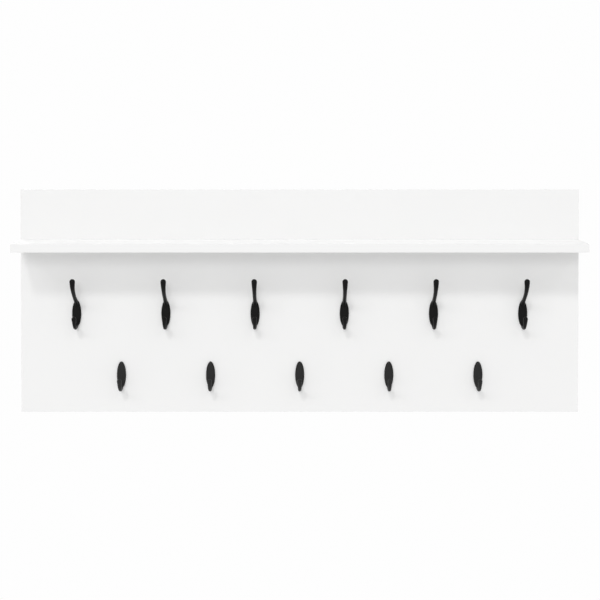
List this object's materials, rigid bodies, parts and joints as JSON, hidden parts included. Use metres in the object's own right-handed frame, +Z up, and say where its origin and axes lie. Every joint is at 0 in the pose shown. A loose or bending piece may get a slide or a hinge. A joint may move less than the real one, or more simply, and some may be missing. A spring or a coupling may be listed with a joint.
{
  "type": "wall hook rack",
  "caption": "Wall-hung hook rack: a flat white panel with a narrow shelf across it, a row of double hat-and-coat hooks and a lower row of single hooks.",
  "frame": {"origin": "centre of the panel's back face, which lies against the wall", "axes": "+X to the right for someone facing the rack, +Y into the wall, +Z up; the front faces -Y"},
  "size_m": [1, 0.125, 0.4],
  "materials": {
    "white_board": "white melamine facing on engineered board, satin",
    "white_edge_band": "white plastic edge band, satin",
    "black_coating": "black powder coating on cast metal, satin",
    "zinc_steel": "bright zinc plating",
    "beech": "raw turned beech"
  },
  "bodies": {
    "root": {"back_panel": "white_board", "panel_edge_top": "white_edge_band", "panel_edge_bottom": "white_edge_band", "panel_edge_left": "white_edge_band", "panel_edge_right": "white_edge_band", "shelf_board": "white_board", "shelf_edge_front": "white_edge_band", "shelf_edge_left": "white_edge_band", "shelf_edge_right": "white_edge_band", "double_hook_1": "black_coating", "double_hook_2": "black_coating", "double_hook_3": "black_coating", "double_hook_4": "black_coating", "double_hook_5": "black_coating", "double_hook_6": "black_coating", "single_hook_1": "black_coating", "single_hook_2": "black_coating", "single_hook_3": "black_coating", "single_hook_4": "black_coating", "single_hook_5": "black_coating", "double_hook_1_screw_upper": "zinc_steel", "double_hook_1_screw_lower": "zinc_steel", "double_hook_2_screw_upper": "zinc_steel", "double_hook_2_screw_lower": "zinc_steel", "double_hook_3_screw_upper": "zinc_steel", "double_hook_3_screw_lower": "zinc_steel", "double_hook_4_screw_upper": "zinc_steel", "double_hook_4_screw_lower": "zinc_steel", "double_hook_5_screw_upper": "zinc_steel", "double_hook_5_screw_lower": "zinc_steel", "double_hook_6_screw_upper": "zinc_steel", "double_hook_6_screw_lower": "zinc_steel", "single_hook_1_screw_upper": "zinc_steel", "single_hook_1_screw_lower": "zinc_steel", "single_hook_2_screw_upper": "zinc_steel", "single_hook_2_screw_lower": "zinc_steel", "single_hook_3_screw_upper": "zinc_steel", "single_hook_3_screw_lower": "zinc_steel", "single_hook_4_screw_upper": "zinc_steel", "single_hook_4_screw_lower": "zinc_steel", "single_hook_5_screw_upper": "zinc_steel", "single_hook_5_screw_lower": "zinc_steel", "shelf_screw_1": "zinc_steel", "shelf_screw_2": "zinc_steel", "shelf_screw_3": "zinc_steel", "shelf_screw_4": "zinc_steel", "shelf_screw_5": "zinc_steel", "shelf_dowel_1": "beech", "shelf_dowel_2": "beech", "shelf_dowel_3": "beech", "shelf_dowel_4": "beech", "hanger_plate_left": "zinc_steel", "hanger_plate_right": "zinc_steel", "hanger_left_screw_upper": "zinc_steel", "hanger_left_screw_lower": "zinc_steel", "hanger_right_screw_upper": "zinc_steel", "hanger_right_screw_lower": "zinc_steel"}
  },
  "joints": []
}
